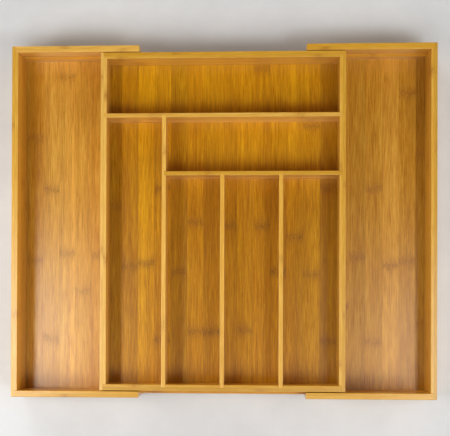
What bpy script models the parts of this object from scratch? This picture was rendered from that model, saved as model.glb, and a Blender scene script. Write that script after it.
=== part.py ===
"""Expandable drawer organizer in laminated bamboo.

A divided centre tray carries a rail along its front wall and another along its back wall.
Two U-shaped extension trays reach round it from the left and the right.
Grooves in their side walls run on the rails, and their floors slide under the centre floor.
Lengths are in metres, +Z is up, +Y is the back, and the origin is the middle of the footprint.
The trays stand fully pulled out.
"""

import math

import bmesh
import bpy

# Overall sizes
TRAY_DEPTH = 0.450  # front to back, over the extension side walls
TRAY_HEIGHT = 0.064  # surface to rim, the same for every wall
SLIDE_TRAVEL = 0.106  # how far each extension tray pulls out

# Compartments of the centre tray, clear between their boards
OUTER_COMPARTMENT_WIDTH = 0.0708
INNER_COMPARTMENT_WIDTH = 0.0692
BACK_COMPARTMENT_DEPTH = 0.0700
SHORT_COMPARTMENT_DEPTH = 0.0688

# Board thicknesses
CENTER_WALL = 0.0080
EXTENSION_WALL = 0.0080
DIVIDER = 0.0054
CENTER_FLOOR = 0.0050
EXTENSION_FLOOR = 0.0045

# Clearances and heights of what slides
EXTENSION_FLOOR_LIFT = 0.0015  # underside of the extension floor, above the surface
FLOOR_RUN_GAP = 0.0010  # centre walls above the extension floor
SIDE_RUN_GAP = 0.0010  # centre tray to each extension side wall
CLOSING_GAP = 0.0005  # end wall to centre tray, pushed in
MEETING_GAP = 0.0010  # left side walls to right side walls, pushed in
LEDGE_HEIGHT = 0.0205  # lower face of the slide groove, on which the rail runs
RAIL_HEIGHT = 0.0155
RAIL_REACH = 0.0050  # running face of the rail, out from the centre wall
RAIL_TOP_GAP = 0.0007
RAIL_TIP_GAP = 0.0005
RAIL_SETBACK = 0.0020  # ends of the rail, in from the corners of the centre tray

# The lath that stops an extension tray from being pulled right off
STOP_LATH_HEIGHT = 0.0080
STOP_LATH_WIDTH = 0.0080
STOP_LATH_TOP_GAP = 0.0011
STOP_LATH_END_GAP = 0.0020

# Joinery
SEAT_GAP = 0.0003  # between faces that are glued or rest on each other
RABBET_LIP = 0.0040  # wood that laps over the end of the wall it meets
WALL_DADO_DEPTH = 0.0038
DIVIDER_DADO_DEPTH = 0.0025
FLOOR_GROOVE_DEPTH = 0.0035
OVERRUN = 0.0020  # how far a cut reaches past the wood

# Softened edges
EDGE_RADIUS = 0.0009
EDGE_STEPS = 3

# Heights
extension_floor_top = EXTENSION_FLOOR_LIFT + EXTENSION_FLOOR
stop_lath_low = extension_floor_top + SEAT_GAP
stop_lath_top = stop_lath_low + STOP_LATH_HEIGHT
center_floor_low = stop_lath_top + STOP_LATH_TOP_GAP
center_floor_top = center_floor_low + CENTER_FLOOR
center_wall_low = extension_floor_top + FLOOR_RUN_GAP
divider_low = center_floor_top + SEAT_GAP
rail_low = LEDGE_HEIGHT + SEAT_GAP
rail_top = rail_low + RAIL_HEIGHT
slide_groove_top = rail_top + RAIL_TOP_GAP
slide_groove_depth = RAIL_REACH - SIDE_RUN_GAP + RAIL_TIP_GAP

# Centre tray, out from its middle
center_inner_x = OUTER_COMPARTMENT_WIDTH + INNER_COMPARTMENT_WIDTH + 1.5 * DIVIDER
center_outer_x = center_inner_x + CENTER_WALL
center_outer_y = TRAY_DEPTH / 2 - EXTENSION_WALL - SIDE_RUN_GAP
center_inner_y = center_outer_y - CENTER_WALL

# Centre lines of the dividers
divider_pitch = INNER_COMPARTMENT_WIDTH + DIVIDER
back_divider_y = center_inner_y - BACK_COMPARTMENT_DEPTH - DIVIDER / 2
short_divider_y = back_divider_y - DIVIDER - SHORT_COMPARTMENT_DEPTH

# Extension trays, inwards from the outer face of their end wall
closed_half_width = center_outer_x + CLOSING_GAP + EXTENSION_WALL
expanded_half_width = closed_half_width + SLIDE_TRAVEL
extension_inner_y = TRAY_DEPTH / 2 - EXTENSION_WALL
side_wall_end = closed_half_width - MEETING_GAP / 2
stop_face = expanded_half_width - center_inner_x + SEAT_GAP
extension_floor_end = stop_face + STOP_LATH_WIDTH

# Grooves in the inner faces of the walls, as low face, high face and depth
center_floor_groove = (
    center_floor_low - SEAT_GAP,
    center_floor_top + SEAT_GAP,
    FLOOR_GROOVE_DEPTH,
)
extension_floor_groove = (
    EXTENSION_FLOOR_LIFT - SEAT_GAP,
    extension_floor_top + SEAT_GAP,
    FLOOR_GROOVE_DEPTH,
)
slide_groove = (LEDGE_HEIGHT, slide_groove_top, slide_groove_depth)

# Spans in Z that a cut passes right through
full_height = (-OVERRUN, TRAY_HEIGHT + OVERRUN)
above_floor = (center_floor_top, TRAY_HEIGHT + OVERRUN)


def clear_scene():
    """Remove whatever the file opens with."""
    for obj in list(bpy.data.objects):
        bpy.data.objects.remove(obj, do_unlink=True)


def finish(board, colour, roughness=0.5):
    """Give a board its own shade of bamboo."""
    material = bpy.data.materials.new(board.name + "_bamboo")
    material.use_nodes = True
    shader = material.node_tree.nodes["Principled BSDF"]
    shader.inputs["Base Color"].default_value = (*colour, 1.0)
    shader.inputs["Roughness"].default_value = roughness
    shader.inputs["Metallic"].default_value = 0.0
    material.diffuse_color = (*colour, 1.0)
    board.data.materials.append(material)


def carrier(name, x, turn):
    """Return the empty that an extension tray hangs on, with its X along the slide."""
    empty = bpy.data.objects.new(name, None)
    bpy.context.scene.collection.objects.link(empty)
    empty.location = (x, 0.0, 0.0)
    empty.rotation_euler = (0.0, 0.0, turn)
    return empty


def place(name, shape, parent):
    """Turn a finished bmesh into a named object on its carrier."""
    bmesh.ops.recalc_face_normals(shape, faces=shape.faces)
    mesh = bpy.data.meshes.new(name)
    shape.to_mesh(mesh)
    shape.free()
    board = bpy.data.objects.new(name, mesh)
    bpy.context.scene.collection.objects.link(board)
    board.parent = parent
    return board


def wall_outline(outer, inner, low, grooves):
    """Cross-section of a wall: outer foot, inner foot, up past each groove, and over the rim."""
    into_wood = math.copysign(1.0, outer - inner)
    points = [(outer, low), (inner, low)]
    for groove_low, groove_high, depth in grooves:
        groove_back = inner + into_wood * depth
        points.append((inner, groove_low))
        points.append((groove_back, groove_low))
        points.append((groove_back, groove_high))
        points.append((inner, groove_high))
    points.append((inner, TRAY_HEIGHT))
    points.append((outer, TRAY_HEIGHT))
    return points


def bar_outline(near, far, low, high):
    """Cross-section of a divider, rail, lath or panel: near foot, far foot, far top, near top."""
    return [(near, low), (far, low), (far, high), (near, high)]


def run_outline(outline, along, start, stop):
    """Run a closed outline straight along X or Y, and cap both ends."""
    shape = bmesh.new()
    rings = []
    for position in (start, stop):
        if along == "X":
            ring = [shape.verts.new((position, across, height)) for across, height in outline]
        else:
            ring = [shape.verts.new((across, position, height)) for across, height in outline]
        rings.append(ring)
    count = len(outline)
    for i in range(count):
        j = (i + 1) % count
        shape.faces.new((rings[0][i], rings[0][j], rings[1][j], rings[1][i]))
    shape.faces.new(rings[0])
    shape.faces.new(rings[1])
    return shape, rings


def soften(shape, edges):
    """Round the edges that run between the given pairs of corners."""
    bmesh.ops.bevel(
        shape,
        geom=[shape.edges.get(pair) for pair in edges],
        offset=EDGE_RADIUS,
        offset_type="OFFSET",
        segments=EDGE_STEPS,
        profile=0.5,
        affect="EDGES",
        clamp_overlap=True,
    )


def cut(board, boxes):
    """Cut boxes, each given as its X, Y and Z spans, out of a board."""
    shape = bmesh.new()
    for span_x, span_y, span_z in boxes:
        corners = [shape.verts.new((x, y, z)) for z in span_z for y in span_y for x in span_x]
        for ring in ((0, 1, 3, 2), (4, 6, 7, 5), (0, 4, 5, 1), (2, 3, 7, 6), (0, 2, 6, 4), (1, 5, 7, 3)):
            shape.faces.new([corners[i] for i in ring])
    cutter = place(board.name + "_cuts", shape, board.parent)
    cutter.hide_render = True
    cutter.display_type = "WIRE"
    joints = board.modifiers.new("joints", "BOOLEAN")
    joints.operation = "DIFFERENCE"
    joints.solver = "EXACT"
    joints.object = cutter


def make_wall(name, parent, along, start, stop, outline, open_ends=(), cuts=()):
    """A wall with its outer foot and rim softened, and its upright outer edge at open ends."""
    shape, rings = run_outline(outline, along, start, stop)
    outer_foot = 0
    rim_inner = len(outline) - 2
    rim_outer = len(outline) - 1
    edges = [(rings[0][i], rings[1][i]) for i in (outer_foot, rim_inner, rim_outer)]
    for end in open_ends:
        edges.append((rings[end][rim_inner], rings[end][rim_outer]))
        edges.append((rings[end][outer_foot], rings[end][rim_outer]))
    soften(shape, edges)
    board = place(name, shape, parent)
    if cuts:
        cut(board, cuts)
    return board


def make_bar(name, parent, along, start, stop, outline, soft_corners=(), soft_ends=False, cuts=()):
    """A straight bar, softened along chosen corners of its outline and round their ends."""
    shape, rings = run_outline(outline, along, start, stop)
    edges = [(rings[0][i], rings[1][i]) for i in soft_corners]
    if soft_ends:
        for ring in rings:
            edges.append((ring[soft_corners[0]], ring[soft_corners[1]]))
    if edges:
        soften(shape, edges)
    board = place(name, shape, parent)
    if cuts:
        cut(board, cuts)
    return board


def dado(along, center, face, depth, into_wood):
    """Cut that houses the end of a divider: its centre line, the wall's face, and which way is wood."""
    half_width = DIVIDER / 2 + SEAT_GAP
    slot = (center - half_width, center + half_width)
    reach = tuple(sorted((face - into_wood * OVERRUN, face + into_wood * depth)))
    if along == "X":
        return (slot, reach, above_floor)
    return (reach, slot, above_floor)


def center_side_walls():
    """Left and right walls, which lap over the ends of the back and front walls."""
    rabbet_y = center_inner_y - SEAT_GAP
    for side, name in ((-1, "center_left_wall"), (1, "center_right_wall")):
        outer = side * center_outer_x
        inner = side * center_inner_x
        rabbet_x = tuple(sorted((side * (center_inner_x - OVERRUN), side * (center_outer_x - RABBET_LIP))))
        cuts = [
            (rabbet_x, (rabbet_y, center_outer_y + OVERRUN), full_height),
            (rabbet_x, (-center_outer_y - OVERRUN, -rabbet_y), full_height),
            dado("Y", back_divider_y, inner, WALL_DADO_DEPTH, side),
        ]
        if side > 0:
            cuts.append(dado("Y", short_divider_y, inner, WALL_DADO_DEPTH, side))
        outline = wall_outline(outer, inner, center_wall_low, [center_floor_groove])
        wall = make_wall(name, None, "Y", -center_outer_y, center_outer_y, outline, (0, 1), cuts)
        finish(wall, (0.60, 0.36, 0.12))


def center_back_and_front_walls():
    """Back and front walls, and the rails glued along them on which the extension trays run."""
    end = center_outer_x - RABBET_LIP - SEAT_GAP
    front_cuts = [
        dado("X", column * divider_pitch, -center_inner_y, WALL_DADO_DEPTH, -1) for column in (-1, 0, 1)
    ]
    rail_end = center_outer_x - RAIL_SETBACK
    for side, place_name, cuts in ((1, "back", ()), (-1, "front", front_cuts)):
        outer = side * center_outer_y
        outline = wall_outline(outer, side * center_inner_y, center_wall_low, [center_floor_groove])
        wall = make_wall("center_" + place_name + "_wall", None, "X", -end, end, outline, (), cuts)
        finish(wall, (0.62, 0.37, 0.12))
        rail_outline = bar_outline(
            side * (center_outer_y + SEAT_GAP), side * (center_outer_y + RAIL_REACH), rail_low, rail_top
        )
        rail = make_bar(place_name + "_rail", None, "X", -rail_end, rail_end, rail_outline, (1, 2), True)
        finish(rail, (0.66, 0.38, 0.13))


def center_floor():
    """Floor panel, held in grooves all round."""
    reach = FLOOR_GROOVE_DEPTH - SEAT_GAP
    half_depth = center_inner_y + reach
    outline = bar_outline(-half_depth, half_depth, center_floor_low, center_floor_top)
    half_width = center_inner_x + reach
    finish(make_bar("center_floor", None, "X", -half_width, half_width, outline), (0.50, 0.27, 0.08))


def dividers():
    """Two dividers across and three along, housed in the walls and in each other."""
    half = DIVIDER / 2
    into_wall = WALL_DADO_DEPTH - SEAT_GAP
    into_divider = DIVIDER_DADO_DEPTH - SEAT_GAP
    wall_end_x = center_inner_x + into_wall
    front_end = -center_inner_y - into_wall
    top_corners = (2, 3)

    def housing(along, center, divider_center, side):
        return dado(along, center, divider_center + side * half, DIVIDER_DADO_DEPTH, -side)

    def across(name, center, start, cuts):
        outline = bar_outline(center - half, center + half, divider_low, TRAY_HEIGHT)
        return make_bar(name, None, "X", start, wall_end_x, outline, top_corners, False, cuts)

    def along_depth(name, center, stop, cuts):
        outline = bar_outline(center - half, center + half, divider_low, TRAY_HEIGHT)
        return make_bar(name, None, "Y", front_end, stop, outline, top_corners, False, cuts)

    long_x = -divider_pitch
    boards = [
        across(
            "back_cross_divider",
            back_divider_y,
            -wall_end_x,
            [housing("X", long_x, back_divider_y, -1)],
        ),
        along_depth(
            "long_divider",
            long_x,
            back_divider_y - half + into_divider,
            [housing("Y", short_divider_y, long_x, 1)],
        ),
        across(
            "short_cross_divider",
            short_divider_y,
            long_x + half - into_divider,
            [housing("X", column * divider_pitch, short_divider_y, -1) for column in (0, 1)],
        ),
        along_depth("left_short_divider", 0.0, short_divider_y - half + into_divider, ()),
        along_depth("right_short_divider", divider_pitch, short_divider_y - half + into_divider, ()),
    ]
    for board in boards:
        finish(board, (0.64, 0.39, 0.13))


def extension_tray(name, turn, back_side):
    """U-shaped tray in its own frame, whose X runs inwards from the end wall's outer face."""
    tray = carrier(name + "_extension", -math.cos(turn) * expanded_half_width, turn)
    half_depth = TRAY_DEPTH / 2

    rabbet_x = (RABBET_LIP, EXTENSION_WALL + OVERRUN)
    rabbet_y = extension_inner_y - SEAT_GAP
    rabbets = [
        (rabbet_x, (rabbet_y, half_depth + OVERRUN), full_height),
        (rabbet_x, (-half_depth - OVERRUN, -rabbet_y), full_height),
    ]
    outline = wall_outline(0.0, EXTENSION_WALL, 0.0, [extension_floor_groove])
    end_wall = make_wall(
        name + "_end_wall", tray, "Y", -half_depth, half_depth, outline, (0, 1), rabbets
    )
    finish(end_wall, (0.66, 0.42, 0.17))

    for side in (-1, 1):
        outline = wall_outline(
            side * half_depth, side * extension_inner_y, 0.0, [extension_floor_groove, slide_groove]
        )
        label = "_back_side_wall" if side == back_side else "_front_side_wall"
        side_wall = make_wall(
            name + label, tray, "X", RABBET_LIP + SEAT_GAP, side_wall_end, outline, (1,)
        )
        finish(side_wall, (0.64, 0.40, 0.16))

    panel_half_depth = extension_inner_y + FLOOR_GROOVE_DEPTH - SEAT_GAP
    panel_start = EXTENSION_WALL - FLOOR_GROOVE_DEPTH + SEAT_GAP
    outline = bar_outline(
        -panel_half_depth, panel_half_depth, EXTENSION_FLOOR_LIFT, extension_floor_top
    )
    floor = make_bar(name + "_floor", tray, "X", panel_start, extension_floor_end, outline)
    finish(floor, (0.55, 0.33, 0.14))

    lath_half_depth = center_inner_y - STOP_LATH_END_GAP
    outline = bar_outline(stop_face, extension_floor_end, stop_lath_low, stop_lath_top)
    lath = make_bar(
        name + "_stop_lath", tray, "Y", -lath_half_depth, lath_half_depth, outline, (2, 3), True
    )
    finish(lath, (0.60, 0.36, 0.14))


def main():
    """Build every board."""
    clear_scene()
    center_side_walls()
    center_back_and_front_walls()
    center_floor()
    dividers()
    extension_tray("left", 0.0, 1)
    extension_tray("right", math.pi, -1)


main()
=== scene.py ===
# %% [markdown]
# # A bamboo drawer organizer that widens
#
# The object is a shallow divided tray of laminated bamboo with a second, U-shaped tray on either side.
# The two side trays slide out along rails, and the scene shows them fully pulled out.
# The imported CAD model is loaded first, because every board that is made here sits where its CAD board sits
# and moves with the same body.

import math

import bmesh
import bpy
import numpy as np
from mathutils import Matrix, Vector


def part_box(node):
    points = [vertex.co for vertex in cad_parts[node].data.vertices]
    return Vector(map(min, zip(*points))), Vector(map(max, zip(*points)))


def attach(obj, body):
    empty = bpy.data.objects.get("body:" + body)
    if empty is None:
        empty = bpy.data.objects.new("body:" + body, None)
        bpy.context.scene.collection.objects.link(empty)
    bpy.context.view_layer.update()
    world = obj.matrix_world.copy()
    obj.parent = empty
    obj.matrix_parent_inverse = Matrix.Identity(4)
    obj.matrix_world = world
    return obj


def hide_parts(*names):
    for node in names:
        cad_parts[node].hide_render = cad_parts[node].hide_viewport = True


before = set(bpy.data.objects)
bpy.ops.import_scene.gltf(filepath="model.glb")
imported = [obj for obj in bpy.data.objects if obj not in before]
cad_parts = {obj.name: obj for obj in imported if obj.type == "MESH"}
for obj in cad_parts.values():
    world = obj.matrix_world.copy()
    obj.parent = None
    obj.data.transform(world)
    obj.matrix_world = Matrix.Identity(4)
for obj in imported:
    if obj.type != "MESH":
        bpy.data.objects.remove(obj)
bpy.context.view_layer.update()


def node_box(node):
    """Lowest and highest corner of a CAD board, as two numpy rows."""
    low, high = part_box(node)
    return np.array(low), np.array(high)


def face_of(node, axis, side):
    """Place on an axis of the face of a CAD board that looks away from side, which is 1 or -1."""
    low, high = node_box(node)
    return (low if side > 0 else high)[axis]


# %% [markdown]
# ## The camera
#
# The photograph looks almost straight down, from a little to the right of the middle.
# Lines that are upright on the real tray run together at one point of such a picture, and that point gives
# the direction of the lens. The point isn't the middle of the picture, so the lens is shifted a little.

# %% Camera
PICTURE = (450, 436)  # width and height of the photograph, in pixels
SENSOR = 36.0  # millimetres across the picture's width
FOCAL_PIXELS = 1144.13
LENS_AXIS = (192.0, 300.0)  # the pixel, from the left and from the top, that the lens points at

lens = bpy.data.cameras.new("view")
lens.sensor_fit = "HORIZONTAL"
lens.sensor_width = SENSOR
lens.lens = FOCAL_PIXELS / PICTURE[0] * SENSOR
lens.shift_x = (PICTURE[0] / 2 - LENS_AXIS[0]) / PICTURE[0]
lens.shift_y = (LENS_AXIS[1] - PICTURE[1] / 2) / PICTURE[0]
camera = bpy.data.objects.new("view", lens)
camera.location = (0.04542, -0.10958, 1.51636)
camera.rotation_euler = (0.006626, 0.057381, 0.003519)
bpy.context.scene.collection.objects.link(camera)
bpy.context.scene.camera = camera
print(f"lens {lens.lens:.1f} mm, {camera.location.z:.2f} m above the floor")

# %% [markdown]
# ## How a board is described
#
# Every piece of this tray is a straight board, so its shape is one outline carried along a line.
# An outline is a list of corners, and a soft corner becomes a quarter circle. Each point is kept as a fixed
# place plus a direction that is multiplied by the radius later on, so the radius may change along the board,
# as it does where a hand has eased the edge with sandpaper.
# Two more points flank each quarter circle, which keeps the flat faces flat when they are shaded smoothly.

# %% Outline of a board
EDGE_RADIUS = 0.0006
ARC_STEPS = 4
FLANK = 0.0004  # from the end of a quarter circle to its flanking point
TOUCHING = 1e-14  # how negative the product of two distances from a seam is when it lies between two points


def outline(corners):
    """Corners (across, up, soft) in anticlockwise order, as arrays of place, radius direction and normal.

    On a soft corner P with the directions u in and v out, the point at angle a is
    P + r * (u * (sin a - 1) + v * (1 - cos a)), and its normal is u * sin a - v * cos a."""
    places = np.array([corner[:2] for corner in corners])
    way = np.roll(places, -1, axis=0) - places
    way /= np.linalg.norm(way, axis=1)[:, None]
    angle = np.linspace(0.0, math.pi / 2, ARC_STEPS + 1)[:, None]
    place, reach, normal = [], [], []
    for corner, u, v in zip(corners, np.roll(way, 1, axis=0), way):
        point = np.array(corner[:2])
        if corner[2]:
            place += [point - u * FLANK, *np.repeat(point[None], ARC_STEPS + 1, axis=0), point + v * FLANK]
            reach += [-u, *(u * (np.sin(angle) - 1) + v * (1 - np.cos(angle))), v]
            normal += [-v, *(u * np.sin(angle) - v * np.cos(angle)), u]
        else:
            place.append(point)
            reach.append(np.zeros(2))
            normal.append(np.array((u[1], -u[0])) + np.array((v[1], -v[0])))
    return np.array(place), np.array(reach), np.array(normal)


def split_at(shape, axis, seams):
    """Add a point wherever the outline crosses a glue seam, so that no face spans two strips."""
    place, reach, normal = shape
    for seam in seams:
        now = place + EDGE_RADIUS * reach
        after = np.roll(now, -1, axis=0)
        side, side_after = now[:, axis] - seam, after[:, axis] - seam
        crossing = np.nonzero(side * side_after < -TOUCHING)[0]
        share = (side[crossing] / (side[crossing] - side_after[crossing]))[:, None]
        point = now[crossing] + share * (after[crossing] - now[crossing])
        along = after[crossing] - now[crossing]
        along /= np.linalg.norm(along, axis=1)[:, None]
        outward = np.stack([along[:, 1], -along[:, 0]], axis=1)
        place = np.insert(place, crossing + 1, point, axis=0)
        reach = np.insert(reach, crossing + 1, 0.0, axis=0)
        normal = np.insert(normal, crossing + 1, outward, axis=0)
    return place, reach, normal


print(f"edges are eased to {EDGE_RADIUS * 1000:.1f} mm, with {ARC_STEPS + 3} points to a soft corner")

# %% [markdown]
# ## Where the outline stands along the board
#
# A board has stations along its length, and the outline stands once at each. Where a joint is cut, a station
# is doubled: the first copy has the full outline, and the second has it clipped to the wood that the cut
# leaves. The faces between the two copies are the shoulder of the joint, so no Boolean is needed.
# At an open end the stations crowd together and the outline draws in, which rounds that end too.

# %% Stations along a board
STATION_STEP = 0.012
NEAR = 1e-7  # a station nearer to a cut than this is left out
DIGITS = 9  # decimals of a metre that tell two stations apart
UNCUT = (-1.0, 1.0, 1.0)  # clip the outline between the first two, above the third


def stations(start, stop, soft_start, soft_stop, cuts):
    """Positions along the board, how far the outline draws in, and the clip that holds at each.

    At distance x from an open end the outline draws in by r * (1 - sqrt(1 - (1 - x / r) ** 2))."""
    radius = EDGE_RADIUS
    quarter = np.sin(np.linspace(0.0, math.pi / 2, ARC_STEPS + 1))
    near_end = np.append(radius * (1 - quarter), radius + FLANK)
    places = np.linspace(start, stop, max(2, round((stop - start) / STATION_STEP)) + 1)
    if soft_start:
        places = np.concatenate([places[1:], start + near_end])
    if soft_stop:
        places = np.concatenate([places[places < stop], stop - near_end])
    places = np.unique(np.round(places, DIGITS))
    breaks = sorted({start, stop, *(edge for cut in cuts for edge in cut[:2] if start < edge < stop)})
    position, clip = [], []
    for low, high in zip(breaks[:-1], breaks[1:]):
        inside = places[(places > low + NEAR) & (places < high - NEAR)]
        zone = np.concatenate([[low], inside, [high]])
        middle = (low + high) / 2
        held = next((cut[2] for cut in cuts if cut[0] < middle < cut[1]), UNCUT)
        position.append(zone)
        clip.append(np.repeat([held], len(zone), axis=0))
    position, clip = np.concatenate(position), np.concatenate(clip)
    to_start = position - start if soft_start else np.full_like(position, radius)
    to_stop = stop - position if soft_stop else np.full_like(position, radius)
    share = np.clip(1 - np.minimum(to_start, to_stop) / radius, 0.0, 1.0)
    return position, radius * (1 - np.sqrt(1 - share**2)), clip


print(len(stations(0.0, 0.1, True, True, ())[0]), "stations on a bar of 0.1 m with two open ends")

# %% [markdown]
# ## How a board is laminated
#
# Bamboo comes from a thin hollow stem, so it is split into strips about 20 mm wide, planed and glued edge to
# edge. The walls here have two such layers back to back, which shows on their rims as two tones.
# Each strip has its own shade, and dark knuckles where the stem had its joints.
# The glue seams are real lines of the mesh, and each face carries the facts of the strip that it belongs to,
# so that one finish can draw every strip differently.

# %% Strips of a board
STRIP = 0.0216  # width of a strip
TONE_SPREAD = 0.3
FIRST_KNUCKLE = (-0.24, -0.02)  # range of its place along the board
KNUCKLE_STEP = (0.19, 0.27)  # range of the distance to the second knuckle
KNUCKLE_STRENGTH = (0.6, 1.0)
NO_KNUCKLE = 9.0  # a place far off the board
NO_SEAM = 0.05  # a distance at which a seam never shows


def laminate(seed, across_seams, depth_seams, tones=None, knuckles=None):
    """Facts of each strip: (tone, how much darker one side is, seed) and (knuckle, knuckle, strength).

    A value in tones is a tone, or a pair of a tone and how much darker one side is.
    A value in knuckles is one or two places along the board, or () where the strip has none."""
    draw = np.random.default_rng(seed)
    size = (len(across_seams) + 1, len(depth_seams) + 1)
    look, knots = np.zeros((*size, 3)), np.zeros((*size, 3))
    look[..., 0] = draw.normal(0.0, TONE_SPREAD, size)
    look[..., 1] = draw.uniform(-1.0, 1.0, size)
    look[..., 2] = draw.uniform(0.0, 1.0, size)
    knots[..., 0] = draw.uniform(*FIRST_KNUCKLE, size)
    knots[..., 1] = knots[..., 0] + draw.uniform(*KNUCKLE_STEP, size)
    knots[..., 2] = draw.uniform(*KNUCKLE_STRENGTH, size)
    for strip, tone in (tones or {}).items():
        look[strip][: np.size(tone)] = tone
    for strip, places in (knuckles or {}).items():
        knots[strip][:2] = (*places, NO_KNUCKLE)[:2]
    seams = {"across": np.array(across_seams, float), "depth": np.array(depth_seams, float)}
    return {**seams, "look": look, "knots": knots}


def seam_distances(value, seams):
    """For the corners of each face: number of its strip, and distances from the seams below and above it."""
    bounds = np.concatenate([[-np.inf], seams, [np.inf]])
    strip = np.searchsorted(seams, value.mean(axis=1))
    below, above = value - bounds[strip][:, None], bounds[strip + 1][:, None] - value
    return strip, np.minimum(below, NO_SEAM), np.minimum(above, NO_SEAM)


print(f"a strip is {STRIP * 1000:.1f} mm wide")

# %% [markdown]
# ## From outline and stations to a mesh
#
# The points form a grid: one row for each station and one column for each point of the outline.
# All of them are worked out at once, and so are the four-sided faces between neighbours.
# Points that fall together, such as those that a clip has flattened, are then merged, and the normals are
# worked out afresh, because a mirrored board would otherwise be inside out.

# %% Points and faces of a board
EASE_RATES = (23.0, 61.0, 140.0)  # radians to the metre
EASE_SHARE = 0.07  # of the radius, for each rate
MERGE = 0.000002  # points nearer to each other than this become one
SHARP = 35  # degrees between two faces from which their edge stays sharp


def ease(position, seed):
    """Radius along a softened edge: three slow sines with random phases, a fifth more or less in all."""
    phase = np.random.default_rng(seed).uniform(0.0, 2 * math.pi, len(EASE_RATES))
    waves = sum(np.sin(position * rate + p) for rate, p in zip(EASE_RATES, phase))
    return EDGE_RADIUS * (1 + EASE_SHARE * waves)


def point_grid(shape, position, draw, clip, seed):
    """Coordinates across and up of every point, with a row for each station.

    Point (i, j) is place[j] + radius[i] * reach[j] + draw[i] * inset[j], clipped at station i.
    The inset leads inwards from the outer face and down from the rim."""
    place, reach, normal = shape
    radius = ease(position, seed)
    inset = np.stack([np.clip(-normal[:, 0], 0, 1), -np.clip(normal[:, 1], 0, 1)], axis=1)
    grid = place[None] + radius[:, None, None] * reach[None] + draw[:, None, None] * inset[None]
    across, up = grid[..., 0], grid[..., 1]
    clipped = np.clip(across, clip[:, 0:1], clip[:, 1:2])
    return np.where(up > clip[:, 2:3], clipped, across), up


def grid_faces(rows, columns):
    """Four-sided faces between neighbouring points, and one face over each end of the board."""
    first = np.arange((rows - 1) * columns).reshape(rows - 1, columns)
    after = np.roll(first, -1, axis=1)
    quads = np.stack([first, after, after + columns, first + columns], axis=-1).reshape(-1, 4)
    return quads, [list(range(columns)), list(range((rows - 1) * columns, rows * columns))]


def clean(mesh):
    """Merge points that fall together, turn all faces outwards, and shade all but sharp edges smoothly."""
    work = bmesh.new()
    work.from_mesh(mesh)
    bmesh.ops.remove_doubles(work, verts=work.verts, dist=MERGE)
    bmesh.ops.dissolve_degenerate(work, dist=MERGE / 2, edges=work.edges)
    bmesh.ops.recalc_face_normals(work, faces=work.faces)
    work.to_mesh(mesh)
    work.free()
    mesh.shade_smooth()
    mesh.set_sharp_from_angle(angle=math.radians(SHARP))


radii = 1000 * ease(np.linspace(-0.2, 0.2, 100), 0)
print(f"along a board of 0.4 m the edge radius goes from {radii.min():.2f} to {radii.max():.2f} mm")

# %% [markdown]
# ## What a board tells its finish
#
# The finish has to know which way the fibres run and where one strip ends, and the coordinates of the whole
# object can't tell. So each board carries its own facts as attributes of the mesh: for each point, its place
# along the fibres, across the strips and through the layers; for each face, the look and the knuckles of its
# strip; and for each corner of a face, the distance from the glue seams.

# %% Make a board
def store(mesh, name, kind, domain, values):
    """Keep an array on the mesh as a named attribute."""
    attribute = mesh.attributes.new(name, kind, domain)
    attribute.data.foreach_set("value" if kind == "FLOAT" else "vector", np.ravel(values).astype(np.float32))


def store_strips(mesh, grain, quads, wood):
    """Keep what the finish reads of the strips. The two end faces show no knuckle and no seam."""
    row, below, above = seam_distances(grain[quads, 1], wood["across"])
    layer, under, over = seam_distances(grain[quads, 2], wood["depth"])
    seam = np.stack([np.minimum(below, under), np.minimum(above, over), np.zeros_like(below)], axis=-1)
    end_corners = len(mesh.loops) - quads.size
    for name, domain, quad_facts, end_facts in (
        ("strip", "FACE", wood["look"][row, layer], np.repeat(wood["look"][-1:, 0], 2, axis=0)),
        ("knuckle", "FACE", wood["knots"][row, layer], np.full((2, 3), NO_KNUCKLE)),
        ("seam", "CORNER", seam.reshape(-1, 3), np.full((end_corners, 3), NO_SEAM)),
    ):
        store(mesh, name, "FLOAT_VECTOR", domain, np.concatenate([quad_facts, end_facts]))


def make_board(
    node, body, slot, along, span, shape, origin, side, wood, soft=(False, False), cuts=(), strip_axis=1, seed=0
):
    """Carry an outline along X or Y over a span, and hang the board on its body in place of the CAD board.

    The outline's first coordinate is measured from origin towards side, and its second is the height.
    The strips lie one above another where strip_axis is 1, and side by side where it is 0."""
    shape = split_at(split_at(shape, 1 - strip_axis, wood["depth"]), strip_axis, wood["across"])
    position, draw, clip = stations(*span, *soft, cuts)
    across, up = point_grid(shape, position, draw, clip, seed)
    line = np.repeat(position[:, None], across.shape[1], axis=1)
    sideways = origin + side * across
    points = np.stack([sideways, line, up] if along == "Y" else [line, sideways, up], axis=-1).reshape(-1, 3)
    grain = np.stack([line, up, across] if strip_axis == 1 else [line, across, up], axis=-1).reshape(-1, 3)
    quads, ends = grid_faces(*across.shape)
    on_arc = np.abs(shape[2]).max(axis=1) < 1 - NEAR  # only inside a quarter circle do normals slant

    mesh = bpy.data.meshes.new(node + "_board")
    mesh.from_pydata(points.tolist(), [], quads.tolist() + ends)
    store(mesh, "grain", "FLOAT_VECTOR", "POINT", grain)
    store(mesh, "edge", "FLOAT", "POINT", np.tile(on_arc, len(position)))
    store_strips(mesh, grain, quads, wood)
    clean(mesh)

    board = bpy.data.objects.new(node + "_board", mesh)
    bpy.context.scene.collection.objects.link(board)
    board.data.materials.append(finishes[slot])
    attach(board, body)
    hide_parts(node)
    print(f"{node}: {len(mesh.polygons)} faces")


# %% [markdown]
# ## The finish
#
# Bamboo is a bundle of straight fibres. On a sawn face they are fine streaks, much longer than they are wide,
# and on a sawn end they are dots. One solid pattern gives both: noise that is squeezed across the fibres and
# drawn out along them. It is read from the grain coordinates of the board, not from the picture plane.
# Near a knuckle the streaks wriggle and tangle, and the wood is darker there.
# A satin lacquer lies over it, a little duller where the edges have been rubbed.

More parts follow.
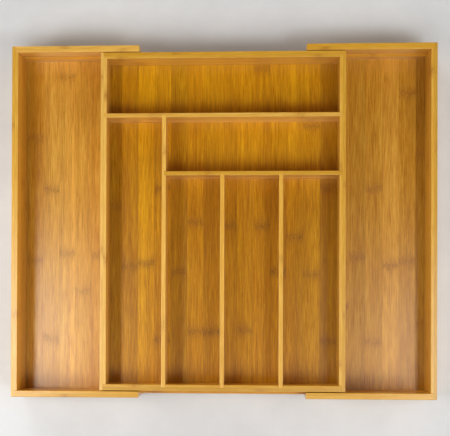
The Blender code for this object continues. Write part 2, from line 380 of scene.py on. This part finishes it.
# %% Small helpers for shader nodes
def linear(red, green, blue):
    """A colour given as the eye sees it, from 0 to 255, as the linear values that a shader takes."""
    value = np.array((red, green, blue)) / 255
    return (*np.where(value <= 0.04045, value / 12.92, ((value + 0.055) / 1.055) ** 2.4), 1.0)


class Shader:
    """Adds nodes to a material and links them; an input may be a number, a colour or another node's output."""

    def __init__(self, name):
        self.material = bpy.data.materials.new(name)
        self.material.use_nodes = True
        self.tree = self.material.node_tree
        self.surface = self.tree.nodes["Principled BSDF"]

    def add(self, kind, inputs=(), **settings):
        node = self.tree.nodes.new(kind)
        for key, value in settings.items():
            setattr(node, key, value)
        for key, value in dict(inputs).items():
            self.feed(node.inputs[key], value)
        return node

    def feed(self, socket, value):
        if isinstance(value, bpy.types.NodeSocket):
            self.tree.links.new(value, socket)
        else:
            socket.default_value = value

    def attribute(self, name, output="Vector"):
        return self.add("ShaderNodeAttribute", attribute_name=name).outputs[output]

    def split(self, vector):
        return self.add("ShaderNodeSeparateXYZ", {0: vector}).outputs

    def join(self, x, y, z):
        return self.add("ShaderNodeCombineXYZ", {0: x, 1: y, 2: z}).outputs[0]

    def math(self, operation, a, b=0.0, c=0.0, clamp=False):
        node = self.add("ShaderNodeMath", {0: a, 1: b, 2: c}, operation=operation)
        node.use_clamp = clamp
        return node.outputs[0]

    def vector(self, operation, a, b):
        return self.add("ShaderNodeVectorMath", {0: a, 1: b}, operation=operation).outputs[0]

    def weigh(self, start, *terms):
        """A start value plus the sum of value * weight over all the terms (value, weight)."""
        for value, weight in terms:
            start = self.math("MULTIPLY_ADD", value, weight, start)
        return start

    def noise(self, place, stretch, detail=2.0, roughness=0.5):
        """Noise with its own number of grains to the metre in each direction, centred on zero."""
        scaled = self.vector("MULTIPLY", place, stretch)
        node = self.add(
            "ShaderNodeTexNoise", {"Vector": scaled, "Scale": 1.0, "Detail": detail, "Roughness": roughness}
        )
        return self.math("SUBTRACT", node.outputs["Fac"], 0.5)

    def bell(self, value, width):
        """One at zero, falling off on both sides: exp(-(value / width) ** 2)."""
        share = self.math("DIVIDE", value, width)
        return self.math("EXPONENT", self.math("MULTIPLY", self.math("MULTIPLY", share, share), -1.0))

    def ramp(self, value, low, high, to_low=0.0, to_high=1.0):
        """A soft step from to_low to to_high while the value goes from low to high."""
        return self.add(
            "ShaderNodeMapRange",
            {"Value": value, "From Min": low, "From Max": high, "To Min": to_low, "To Max": to_high},
            interpolation_type="SMOOTHSTEP",
        ).outputs[0]

    def mix(self, share, a, b):
        return self.add("ShaderNodeMix", {0: share, 6: a, 7: b}, data_type="RGBA").outputs[2]


print("half grey, as a shader takes it:", round(linear(128, 128, 128)[0], 3))

# %% Knuckles and fibres
HALO, KNOT = 0.0095, 0.0048  # half widths of the dark wood round a knuckle and of the knuckle itself


def knuckle_marks(s, grain, place):
    """How strongly the halo and the knot of the nearer knuckle show, on a line that wavers across the strip."""
    along = s.split(grain)[0]
    first, second, strength = s.split(s.attribute("knuckle"))
    to_first, to_second = s.math("SUBTRACT", along, first), s.math("SUBTRACT", along, second)
    nearer = s.math("LESS_THAN", s.math("ABSOLUTE", to_first), s.math("ABSOLUTE", to_second))
    away = s.add("ShaderNodeMix", {0: nearer, 2: to_second, 3: to_first}, data_type="FLOAT").outputs[0]
    waver = s.noise(place, (20.0, 120.0, 120.0))
    brush = s.noise(place, (60.0, 900.0, 900.0))
    line = s.weigh(away, (brush, 0.007), (waver, 0.010))
    return [s.math("MULTIPLY", s.bell(line, width), strength) for width in (HALO, KNOT)]


def fibre_patterns(s, place, halo):
    """Broad bands, fine fibres and dark flecks, which all bend round a knuckle, and the tangle inside one."""
    wriggle = s.math("MULTIPLY", s.noise(place, (150.0, 260.0, 260.0), 1.0), s.math("MULTIPLY", halo, 0.004))
    bent = s.vector("ADD", place, s.join(0.0, wriggle, wriggle))
    bands = s.noise(bent, (5.0, 130.0, 130.0))
    fibres = s.noise(bent, (34.0, 640.0, 640.0), 4.0, 0.7)
    flecks = s.ramp(s.noise(bent, (60.0, 2200.0, 2200.0)), 0.08, 0.3)
    tangle = s.ramp(s.noise(bent, (380.0, 480.0, 480.0), 1.0), -0.10, 0.12)
    return bands, fibres, flecks, tangle


print(f"a knuckle is {2000 * KNOT:.0f} mm wide, and the dark wood round it {2000 * HALO:.0f} mm")

# %% Lacquered bamboo
TONE_STEP, LEAN_STEP = 0.16, 0.05  # change of brightness for one unit of tone, and of lean
SEAM_FADE = (0.00005, 0.00035)  # distances from a glue seam between which its line fades away
SEAM_SHOWS = 0.25  # of the knuckles' colour in a seam
LACQUER_ROUGHNESS = 0.30
LACQUER_TINT = (1.0, 0.92, 0.75, 1.0)


def strip_colour(s, shades, streak, fade, patterns, seam_sides):
    """Colour of the bare wood: its shade comes from the fibres, and its brightness and hue from the strip."""
    bands, fibres, flecks = patterns
    below, above = seam_sides
    shade = s.weigh(0.5, (bands, 0.8 * streak), (fibres, 1.9 * streak), (flecks, -0.10 * streak))
    wood = s.add("ShaderNodeValToRGB", {0: shade})
    stops = wood.color_ramp.elements
    stops[0].position, stops[0].color = 0.1, shades[0]
    stops[1].position, stops[1].color = 0.9, shades[2]
    stops.new(0.5).color = shades[1]
    tone, lean, seed = s.split(s.attribute("strip"))
    slant = s.math("MULTIPLY", s.math("SUBTRACT", below, above), 1.0 / STRIP)
    slant = s.math("MINIMUM", s.math("MAXIMUM", slant, -1.0), 1.0)
    pale = s.math("MAXIMUM", tone, 0.0)
    strip = {
        "Hue": s.weigh(0.4985, (seed, 0.003), (pale, 0.003)),
        "Saturation": s.weigh(1.0, (pale, -fade)),
        "Value": s.weigh(1.0, (tone, TONE_STEP), (s.math("MULTIPLY", lean, slant), LEAN_STEP)),
        "Color": wood.outputs[0],
    }
    return s.add("ShaderNodeHueSaturation", strip).outputs[0]


def bamboo(name, shades, knuckle, streak, coat, fade=0.0):
    """A finish for one kind of board.

    shades are its dark, middle and light wood and knuckle is its knuckles' colour, all as the eye sees them.
    streak is the contrast of the fibres, coat the amount of lacquer, and fade the share of its colour that a
    strip loses for each unit of tone."""
    shades, knuckle = [linear(*shade) for shade in shades], linear(*knuckle)
    s = Shader(name)
    grain, edge = s.attribute("grain"), s.attribute("edge", "Fac")
    seed = s.split(s.attribute("strip"))[2]
    below, above, _ = s.split(s.attribute("seam"))

    # Each strip starts somewhere else in the pattern
    place = s.vector("ADD", grain, s.join(s.math("MULTIPLY", seed, 3.7), seed, seed))
    halo, knot = knuckle_marks(s, grain, place)
    bands, fibres, flecks, tangle = fibre_patterns(s, place, halo)
    colour = strip_colour(s, shades, streak, fade, (bands, fibres, flecks), (below, above))

    # Knuckles and glue seams are darker, and rubbed edges are lighter
    stain = s.math("MULTIPLY", knot, s.weigh(0.08, (tangle, 0.42)))
    stain = s.math("MULTIPLY_ADD", halo, 0.28, stain, clamp=True)
    seam = s.ramp(s.math("MINIMUM", below, above), *SEAM_FADE, SEAM_SHOWS, 0.0)
    wear = s.ramp(s.noise(place, (60.0, 400.0, 400.0)), -0.15, 0.2, 0.0, 0.3)
    rubbed = s.math("MULTIPLY", edge, wear)
    for share, paint in ((stain, knuckle), (seam, knuckle), (rubbed, shades[2])):
        colour = s.mix(share, colour, paint)

    # The lacquer is uneven, sinks a little into the wood, and is duller on knuckles and edges
    smudge = s.noise(place, (14.0, 22.0, 22.0))
    rough = s.weigh(LACQUER_ROUGHNESS, (fibres, 0.16), (smudge, 0.10), (knot, 0.08), (edge, 0.06))
    height = s.weigh(fibres, (flecks, -0.5), (stain, -0.7), (seam, -1.5))
    bump = s.add("ShaderNodeBump", {"Height": height, "Strength": 0.5, "Distance": 0.00008})
    for socket, value in (
        ("Base Color", colour),
        ("Roughness", rough),
        ("Normal", bump.outputs[0]),
        ("Specular Tint", LACQUER_TINT),
        ("Coat Weight", coat),
        ("Coat Roughness", 0.3),
    ):
        s.feed(s.surface.inputs[socket], value)
    return s.material


# %% [markdown]
# ## Five finishes
#
# All the boards come from the same kind of stem, so one recipe serves them all. In the photograph the floors
# are darker than the walls and show stronger fibres. The walls and the dividers look alike, but each
# has a finish of its own, as each has in the record.

# %% Finishes
WALL_WOOD = {
    "shades": ((202, 139, 27), (223, 163, 44), (243, 193, 82)),
    "knuckle": (174, 106, 18),
    "streak": 0.6,
    "coat": 0.8,
    "fade": 0.05,
}
finishes = {
    "wall_bamboo": bamboo("wall_finish", **WALL_WOOD),
    "divider_bamboo": bamboo("divider_finish", **WALL_WOOD),
    "center_floor_bamboo": bamboo(
        "center_floor_finish",
        shades=((171, 109, 0), (200, 138, 3), (228, 170, 16)),
        knuckle=(136, 82, 0),
        streak=0.88,
        coat=0.4,
    ),
    "extension_floor_bamboo": bamboo(
        "extension_floor_finish",
        shades=((186, 120, 12), (215, 152, 32), (239, 184, 64)),
        knuckle=(166, 103, 24),
        streak=0.95,
        coat=0.8,
        fade=0.02,
    ),
    "rail_bamboo": bamboo(
        "rail_finish",
        shades=((205, 132, 14), (226, 156, 26), (243, 180, 42)),
        knuckle=(146, 83, 10),
        streak=0.7,
        coat=0.6,
    ),
}
print("finishes:", ", ".join(finishes))

# %% [markdown]
# ## Walls of the centre tray
#
# The side walls run the full depth and lap over the ends of the front and back walls: half their thickness is
# cut away there, which leaves a lip. Grooves in all four walls hold the floor, and upright slots hold the ends
# of the dividers. Each cut is measured from the board that fits into it, with a hair of room for the glue.

# %% Sizes of the joints
JOINT = 0.00008  # room for glue
LIP = 0.0040  # wood that laps over the end of the neighbouring wall
PANEL_ROOM = 0.0001  # below a floor in its groove, and past its edge
PANEL_GAP = 0.0004  # above it, where the dry panel shows a dark line all round
TINY = 0.000001  # between the two points of a ledge, from where up a slot is cut
FAR = 1.0  # past the end of any board
RIM = node_box("center_left_wall")[1][2]
FLOOR_TOP = node_box("center_floor")[1][2]
LEDGE = FLOOR_TOP + PANEL_GAP + PANEL_ROOM  # foot of the slots for the dividers, just above the floor's groove
wall_seams = [RIM - 2 * STRIP, RIM - STRIP]
OUTER, INNER, TOP = 0, 1, 2  # layers of a wall, and the row of strips at its rim


def groove_for(panel, axis, wall):
    """Groove that holds a panel's edge: its low face, its high face and its depth in the wall."""
    low, high = node_box(panel)
    side = 1 if node_box(wall)[0][axis] > 0 else -1
    depth = abs(face_of(panel, axis, -side) - face_of(wall, axis, side))
    return (low[2] - PANEL_ROOM, high[2] + PANEL_GAP, depth + PANEL_ROOM)


def housing(divider, axis, face, side, above=-FAR):
    """Slot that takes a divider's end: its span along the board, and the wood that stays behind it.

    The wood is measured from the far face of the board, towards side."""
    low, high = node_box(divider)
    behind = abs(face_of(divider, 1 - axis, side) - face) - JOINT
    return (low[axis] - JOINT, high[axis] + JOINT, (0.0, behind, above))


def lip_cuts(neighbour):
    """Cuts at both ends of a side wall, which leave the lip that laps over the neighbouring walls."""
    rabbet = face_of(neighbour, 1, 1) - JOINT
    return [(rabbet, FAR, (0.0, LIP, -FAR)), (-FAR, -rabbet, (0.0, LIP, -FAR))]


def wall_outline(thickness, low, grooves, ledge=None):
    """Outline of a wall from its outer face: foot, grooves in the inner face, and rim."""
    corners = [(0.0, low, True), (thickness, low, False)]
    for groove_low, groove_high, depth in grooves:
        corners += [(thickness, groove_low, False), (thickness - depth, groove_low, False)]
        corners += [(thickness - depth, groove_high, False), (thickness, groove_high, False)]
    if ledge is not None:
        corners += [(thickness, ledge, False), (thickness, ledge + TINY, False)]
    return outline(corners + [(thickness, RIM, True), (0.0, RIM, True)])


print(f"the rims are {RIM * 1000:.0f} mm high, and the centre tray's floor {FLOOR_TOP * 1000:.1f} mm")

# %% Centre side walls
for name, side, dividers, tones, knuckles in (
    (
        "center_left_wall",
        1,
        ["back_cross_divider"],
        # the rim's light tones are partly lighter wood and partly a painted sheen
        {(0, INNER): -1.0, (1, INNER): -1.0, (TOP, OUTER): 1.4, (TOP, INNER): 1.2},
        {},
    ),
    (
        "center_right_wall",
        -1,
        ["back_cross_divider", "short_cross_divider"],
        {(TOP, OUTER): -0.5, (TOP, INNER): 0.5},
        {(TOP, INNER): (0.067, -0.18), (TOP, OUTER): (0.043, -0.12)},
    ),
):
    low, high = node_box(name)
    face, thickness = face_of(name, 0, side), high[0] - low[0]
    cuts = lip_cuts("center_back_wall")
    cuts += [housing(divider, 1, face, side, LEDGE + TINY / 2) for divider in dividers]
    shape = wall_outline(thickness, low[2], [groove_for("center_floor", 0, name)], LEDGE)
    wood = laminate(11 + side, wall_seams, [thickness / 2], tones, knuckles)
    span = (low[1], high[1])
    make_board(name, "center_tray", "wall_bamboo", "Y", span, shape, face, side, wood, (True, True), cuts)

# %% Centre back and front walls
walls_end = node_box("center_right_wall")[1][0] - LIP - JOINT
for name, side, dividers, tones, knuckles in (
    (
        "center_back_wall",
        -1,
        [],
        {(TOP, OUTER): 0.0, (TOP, INNER): 0.2},
        {(TOP, INNER): (0.122, -0.13), (TOP, OUTER): (-0.06,)},
    ),
    (
        "center_front_wall",
        1,
        ["long_divider", "left_short_divider", "right_short_divider"],
        {(TOP, OUTER): -0.7, (TOP, INNER): -0.5},
        {(TOP, INNER): (-0.11,), (TOP, OUTER): (0.05,)},
    ),
):
    low, high = node_box(name)
    face, thickness = face_of(name, 1, side), high[1] - low[1]
    cuts = [housing(divider, 0, face, side, LEDGE + TINY / 2) for divider in dividers]
    shape = wall_outline(thickness, low[2], [groove_for("center_floor", 1, name)], LEDGE if cuts else None)
    wood = laminate(31 + side, wall_seams, [thickness / 2], tones, knuckles)
    span = (-walls_end, walls_end)
    make_board(name, "center_tray", "wall_bamboo", "X", span, shape, face, side, wood, cuts=cuts)

# %% [markdown]
# ## Rails
#
# A lath is glued along the outside of the front wall and of the back wall. The extension trays run on these two
# rails, so their outer edges and their ends are eased.

# %% Rails
for name, wall, side in (("back_rail", "center_back_wall", -1), ("front_rail", "center_front_wall", 1)):
    low, high = node_box(name)
    tip = face_of(name, 1, side)
    width = abs(face_of(wall, 1, side) - tip) - JOINT
    foot, top = low[2], high[2]
    shape = outline([(0.0, foot, True), (width, foot, False), (width, top, False), (0.0, top, True)])
    wood = laminate(41 + side, [], [])
    span = (low[0], high[0])
    make_board(name, "center_tray", "rail_bamboo", "X", span, shape, tip, side, wood, (True, True))

# %% [markdown]
# ## Floors
#
# A floor is one panel of strips that run from front to back. The dividers stand on it, so a strip goes on under
# them from one compartment to the next. The seams, the shades and the places of the knuckles are set strip by
# strip, from left to right. The dark strips beside the walls, and the leans that darken a strip towards a wall,
# are painted shade: they stand in for the shadow that the walls cast on the floor.

# %% Floors
def make_floor(name, body, slot, first_seam, strips, seed):
    """Carry a flat rectangle from front to back. The seams are first_seam + STRIP * k.

    Each strip is a tone, or a tone and a lean, and the places of its knuckles."""
    low, high = node_box(name)
    (left, _, bottom), (right, _, top) = low, high
    shape = outline([(left, bottom, False), (right, bottom, False), (right, top, False), (left, top, False)])
    seams = first_seam + STRIP * np.arange(len(strips) - 1)
    tones = {(row, 0): tone for row, (tone, _) in enumerate(strips)}
    knuckles = {(row, 0): places for row, (_, places) in enumerate(strips)}
    wood = laminate(seed, seams, [], tones, knuckles)
    make_board(name, body, slot, "Y", (low[1], high[1]), shape, 0.0, 1, wood, strip_axis=0)


center_strips = (
    # painted shade: this dark strip beside the left wall stands in for that wall's shadow on the floor
    (-1.6, (0.023, -0.196)),
    (0.45, (-0.056,)),
    (2.3, (-0.052,)),
    (0.6, (0.046, -0.153)),
    (-0.85, (-0.063,)),
    (0.5, (0.002, -0.141)),
    (0.2, (-0.142,)),
    (0.05, (-0.003,)),
    (0.5, (-0.140,)),
    (0.25, (0.203, -0.003)),
    (0.0, (-0.063,)),
    (0.45, (-0.017,)),
    (0.3, (0.128, -0.066)),
    # painted shade: this dark strip beside the right wall stands in for that wall's shadow on the floor
    (-1.35, (0.046, -0.154)),
    (-0.6, ()),
)
left_strips = (
    # painted shade: the dark first two strips, and the leans that darken the second and third strips towards
    # the end wall, stand in for that wall's shadow on the floor
    (-1.2, ()),
    ((-0.5, 3.0), (0.115, -0.047)),
    ((1.6, 1.0), (0.047, -0.151)),
    (1.8, (0.197, -0.039)),
    (1.1, (-0.088,)),
    (0.4, (-0.041,)),
    (0.4, ()),
)
right_strips = (
    (-0.8, ()),
    (-0.8, (-0.108,)),
    (-0.8, (-0.043,)),
    (0.3, (0.047, -0.153)),
    (1.0, (-0.054,)),
    (0.0, (0.172, -0.049)),
    # painted shade: this dark last strip beside the end wall stands in for that wall's shadow on the floor
    (-1.6, (0.090, -0.130)),
)
make_floor("center_floor", "center_tray", "center_floor_bamboo", -0.1335, center_strips, 51)
make_floor("left_floor", "left_extension", "extension_floor_bamboo", -0.2619, left_strips, 52)
make_floor("right_floor", "right_extension", "extension_floor_bamboo", 0.1431, right_strips, 53)

# %% [markdown]
# ## Dividers
#
# Five thinner boards stand on the floor. Their ends are housed in the walls or in each other, and their rims
# are level with the walls. A divider that takes another one's end has a shallow slot down its whole height.

# %% Dividers
# painted light: the lower strips of the cross dividers are made lighter, which stands in for the light that
# falls on their faces from the front
PAINTED_LIGHT_FACE_TONES = {(0, 0): 2.0, (1, 0): 2.0}  # the two lower rows of strips of a cross divider
short_dividers = ["left_short_divider", "right_short_divider"]
for number, (name, along, side, guests, tones, rim_knuckles) in enumerate(
    (
        ("back_cross_divider", "X", -1, ["long_divider"], {**PAINTED_LIGHT_FACE_TONES, (TOP, 0): 0.9}, (-0.09, 0.1)),
        ("short_cross_divider", "X", -1, short_dividers, {**PAINTED_LIGHT_FACE_TONES, (TOP, 0): -0.2}, (-0.016,)),
        ("long_divider", "Y", 1, ["short_cross_divider"], {(TOP, 0): 1.0}, (0.09, -0.13)),
        ("left_short_divider", "Y", 1, [], {(TOP, 0): 0.6}, ()),
        ("right_short_divider", "Y", 1, [], {(TOP, 0): 0.5}, (-0.049,)),
    )
):
    low, high = node_box(name)
    line, across = (0, 1) if along == "X" else (1, 0)
    face, thickness, foot = face_of(name, across, side), high[across] - low[across], FLOOR_TOP + JOINT
    shape = outline([(0.0, foot, False), (thickness, foot, False), (thickness, RIM, True), (0.0, RIM, True)])
    cuts = [housing(guest, line, face, side) for guest in guests]
    wood = laminate(61 + number, wall_seams, [], tones, {(TOP, 0): rim_knuckles})
    span = (low[line], high[line])
    make_board(
        name, "center_tray", "divider_bamboo", along, span, shape, face, side, wood, cuts=cuts, seed=number
    )

# %% [markdown]
# ## Extension trays
#
# Each side tray is a U: an end wall that laps over the ends of two side walls, a floor panel in a groove that
# runs round all three, and a lath along the free edge of the floor. When a tray is pulled out, the lath meets
# the side wall of the centre tray and stops it. The side walls have a second, deeper groove for the rail.

# %% End walls
end_tones = {
    "left": {(0, INNER): -0.9, (1, INNER): -0.9, (TOP, OUTER): 0.2, (TOP, INNER): 0.3},
    "right": {(0, INNER): -0.3, (1, INNER): -0.3, (TOP, OUTER): -0.4, (TOP, INNER): 0.4},
}
end_knuckles = {
    "left": {(TOP, OUTER): (0.1236, -0.1189), (TOP, INNER): (-0.119,)},
    "right": {(TOP, OUTER): (0.0932,), (TOP, INNER): (0.1904,)},
}


def end_wall(hand, side):
    """The wall at the far end of an extension tray, with side 1 where that leads to the right."""
    name = hand + "_end_wall"
    low, high = node_box(name)
    face, thickness = face_of(name, 0, side), high[0] - low[0]
    cuts = lip_cuts(hand + "_back_side_wall")
    shape = wall_outline(thickness, low[2], [groove_for(hand + "_floor", 0, name)])
    wood = laminate(71 + side, wall_seams, [thickness / 2], end_tones[hand], end_knuckles[hand])
    span = (low[1], high[1])
    make_board(name, hand + "_extension", "wall_bamboo", "Y", span, shape, face, side, wood, (True, True), cuts)


# %% Side walls
SLIDE_UNDER, SLIDE_OVER, SLIDE_TIP = 0.0003, 0.0007, 0.0005  # room round the rail in its groove
rim_tones = {"left_back": 1.1, "right_back": 0.0, "left_front": -0.1, "right_front": -0.1}
side_knuckles = {"left": {(TOP, OUTER): (-0.201,)}, "right": {}}


def side_wall(hand, side, place, inward):
    """A wall along the back or the front of an extension tray, with inward 1 where that leads to the back."""
    name = f"{hand}_{place}_side_wall"
    low, high = node_box(name)
    outer, thickness = face_of(name, 1, inward), high[1] - low[1]
    rail_low, rail_high = node_box(place + "_rail")
    slide_depth = abs(face_of(place + "_rail", 1, inward) - face_of(name, 1, -inward)) + SLIDE_TIP
    slide = (rail_low[2] - SLIDE_UNDER, rail_high[2] + SLIDE_OVER, slide_depth)
    shape = wall_outline(thickness, low[2], [groove_for(hand + "_floor", 1, name), slide])
    rim_tone = rim_tones[f"{hand}_{place}"]
    tones = {(TOP, OUTER): rim_tone, (TOP, INNER): rim_tone}
    wood = laminate(81 + 2 * side + inward, wall_seams, [thickness / 2], tones, side_knuckles[hand])
    lap = face_of(hand + "_end_wall", 0, side) + side * (LIP + JOINT)
    span = (lap, high[0]) if side > 0 else (low[0], lap)
    soft = (side < 0, side > 0)
    make_board(name, hand + "_extension", "wall_bamboo", "X", span, shape, outer, inward, wood, soft)


# %% Stop laths
def stop_lath(hand, side):
    """The lath on the free edge of an extension tray's floor."""
    name = hand + "_stop_lath"
    low, high = node_box(name)
    foot, top, width = node_box(hand + "_floor")[1][2] + JOINT, high[2], high[0] - low[0]
    shape = outline([(0.0, foot, False), (width, foot, False), (width, top, True), (0.0, top, True)])
    wood = laminate(91 + side, [], [])
    span = (low[1], high[1])
    make_board(name, hand + "_extension", "wall_bamboo", "Y", span, shape, low[0], 1, wood, (True, True))


for hand, side in (("left", 1), ("right", -1)):
    end_wall(hand, side)
    side_wall(hand, side, "back", -1)
    side_wall(hand, side, "front", 1)
    stop_lath(hand, side)

# %% [markdown]
# ## The floor of the scene
#
# The tray lies on a plain pale table top. One large square stands for it, with faint clouds in its colour.

# %% Pale floor
HALF_WIDTH = 5.0
floor_shader = Shader("pale_floor")
clouds = floor_shader.noise(floor_shader.add("ShaderNodeTexCoord").outputs["Object"], (9.0, 9.0, 9.0), 4.0, 0.6)
pale = floor_shader.mix(floor_shader.ramp(clouds, -0.2, 0.2), linear(229, 229, 229), linear(238, 238, 238))
floor_shader.feed(floor_shader.surface.inputs["Base Color"], pale)
floor_shader.feed(floor_shader.surface.inputs["Roughness"], 0.7)

floor_mesh = bpy.data.meshes.new("floor")
square = [(HALF_WIDTH * x, HALF_WIDTH * y, 0.0) for x, y in ((-1, -1), (1, -1), (1, 1), (-1, 1))]
floor_mesh.from_pydata(square, [], [(0, 1, 2, 3)])
floor_mesh.materials.append(floor_shader.material)
floor = bpy.data.objects.new("floor", floor_mesh)
bpy.context.scene.collection.objects.link(floor)
print(f"floor {2 * HALF_WIDTH:.0f} m square")

# %% [markdown]
# ## The lamps
#
# The photograph has soft light from above, a little stronger from the right, and weak shadows on all sides.
# Three lamps high in front give most of it. Three small narrow ones hang beside the tray, and two low ones
# reach the inner faces of the walls. Two large ones stand far off, at the back left and at the right, and catch
# on the lacquer. All are flat rectangles rather than points, because those would give hard shadows.

# %% Lamps
CENTER = (0.0, 0.0, 0.0)
ROOM_GLOW = 0.02


def soft_light(name, place, aim, size, power, spread=180):
    """A flat rectangular lamp that faces a point; spread is the angle of its beam in degrees."""
    lamp = bpy.data.lights.new(name, "AREA")
    lamp.shape = "RECTANGLE"
    lamp.size, lamp.size_y = size
    lamp.energy = power
    lamp.spread = math.radians(spread)
    holder = bpy.data.objects.new(name, lamp)
    holder.location = place
    holder.rotation_euler = (Vector(place) - Vector(aim)).to_track_quat("Z", "Y").to_euler()
    bpy.context.scene.collection.objects.link(holder)
    print(f"lamp {name}: {power} W")


soft_light("high_right", (1.2, -1.0, 2.5), CENTER, (0.8, 0.8), 17.9)
soft_light("high_front", (0.0, -1.8, 2.5), CENTER, (0.8, 0.8), 8.1)
soft_light("high_middle", (0.0, -1.0, 2.5), CENTER, (0.8, 0.8), 5.2)
soft_light("left", (-0.47, -0.15, 0.95), (-0.235, -0.15, 0.0), (0.3, 0.12), 1.44)
soft_light("near_left", (-0.40, -0.30, 0.70), (-0.20, -0.30, 0.0), (0.3, 0.09), 0.32)
soft_light("right", (0.43, -0.20, 0.95), (0.215, -0.20, 0.0), (0.3, 0.12), 0.86)
soft_light("low_left", (-0.9, -0.2, 0.55), CENTER, (0.4, 0.4), 1.15, 100)
soft_light("low_right", (0.9, -0.2, 0.55), CENTER, (0.4, 0.4), 1.9)
soft_light("low_back_left", (-1.8, 3.0, 1.6), CENTER, (2.0, 1.2), 13.2, 100)
soft_light("low_back_right", (2.8, 1.0, 1.2), CENTER, (1.6, 0.8), 4.4, 100)

world = bpy.data.worlds.new("room")
world.use_nodes = True
world.node_tree.nodes["Background"].inputs[0].default_value = (1.0, 1.0, 1.0, 1.0)
world.node_tree.nodes["Background"].inputs[1].default_value = ROOM_GLOW
bpy.context.scene.world = world
bpy.context.scene.view_settings.view_transform = "Standard"
